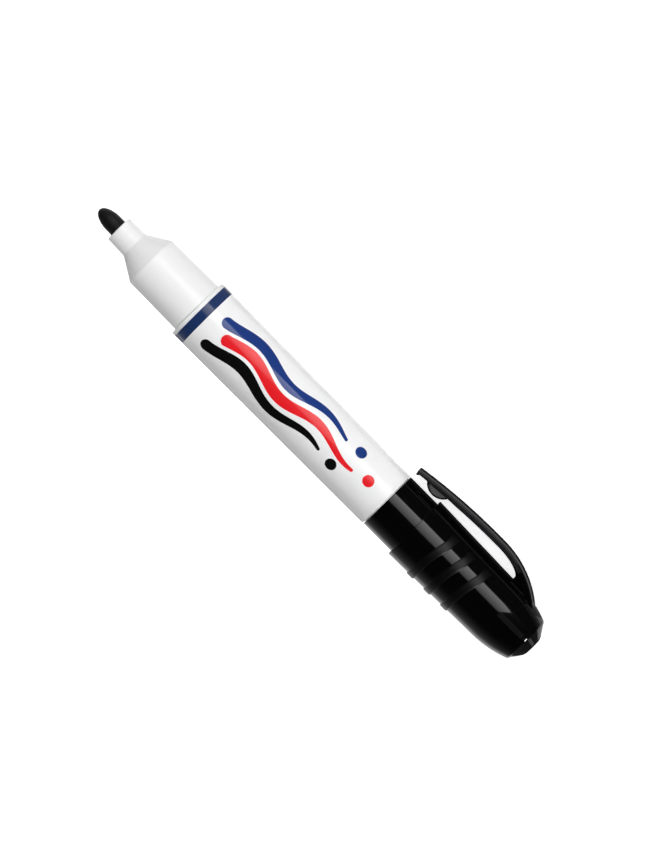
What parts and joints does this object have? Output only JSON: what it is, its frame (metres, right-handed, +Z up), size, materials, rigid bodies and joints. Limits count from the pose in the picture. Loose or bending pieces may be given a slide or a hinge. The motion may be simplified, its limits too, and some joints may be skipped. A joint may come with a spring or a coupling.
{
  "type": "permanent marker",
  "caption": "Bullet-tip permanent marker with white drafted barrel and nose, and a black ribbed clip cap that pulls off the tail where it is posted.",
  "frame": {"origin": "centre of the marker's footprint on the table it lies on, cap posted on the tail", "axes": "+X along the marker's axis towards the nib, +Z up, the clip on the -Y side with its edge resting on the table"},
  "size_m": [0.14, 0.0203, 0.0171],
  "materials": {
    "barrel_white": "moulded white polypropylene, satin gloss",
    "nose_white": "moulded white polypropylene, satin gloss",
    "nib_felt": "ink-soaked black felt, matte",
    "label_film": "printed white film, gloss",
    "ink_fibre": "ink-soaked fibre",
    "core_film": "thin clear film",
    "cap_black": "moulded black polypropylene, high gloss, satin ribs",
    "seal_natural": "natural soft polyethylene"
  },
  "bodies": {
    "barrel": {"barrel": "barrel_white", "nose_section": "nose_white", "nib": "nib_felt", "label": "label_film", "ink_core": "ink_fibre", "core_wrap": "core_film"},
    "cap": {"cap_shell": "cap_black", "seal_cup": "seal_natural"},
    "clip": {"pocket_clip": "cap_black"}
  },
  "joints": [
    {"name": "cap_pull", "type": "slide", "parent": "barrel", "child": "cap", "axis": [-1, 0, 0], "range_m": [0, 0.026]},
    {"name": "clip_flex", "type": "hinge", "parent": "cap", "child": "clip", "pos_m": [-0.05257, -0.00861, 0.00233], "axis": [0, 0.5152, -0.8571], "range_deg": [0, 5], "stiffness_Nm_per_rad": 0.5}
  ]
}
